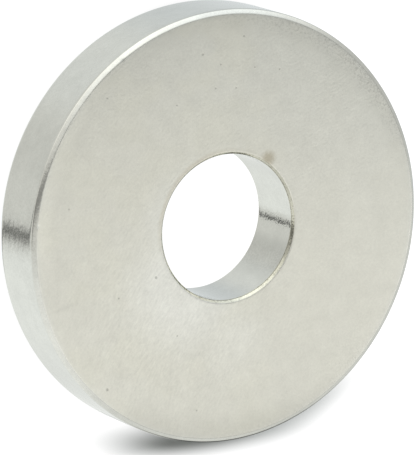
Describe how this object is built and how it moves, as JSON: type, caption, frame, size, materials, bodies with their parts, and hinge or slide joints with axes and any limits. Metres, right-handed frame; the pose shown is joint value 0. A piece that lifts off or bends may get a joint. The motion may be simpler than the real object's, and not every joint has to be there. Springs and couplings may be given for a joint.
{
  "type": "ring magnet",
  "caption": "Flat ring magnet with a round bore through its middle, chamfered edges and a bright nickel finish. It lies on either pole face and holds itself to steel.",
  "frame": {"origin": "centre of the lower pole face, on the axis of the ring", "axes": "+Z along the axis of the ring, from the lower pole face up to the upper one; X and Y across the ring, which looks the same in every direction round Z"},
  "size_m": [0.06, 0.06, 0.0096],
  "materials": {
    "nickel_plating": "bright nickel plating over finely ground faces, slightly warm and softly clouded, with fine hairlines and a few small pits"
  },
  "bodies": {
    "root": {"ring_magnet": "nickel_plating"}
  },
  "joints": []
}
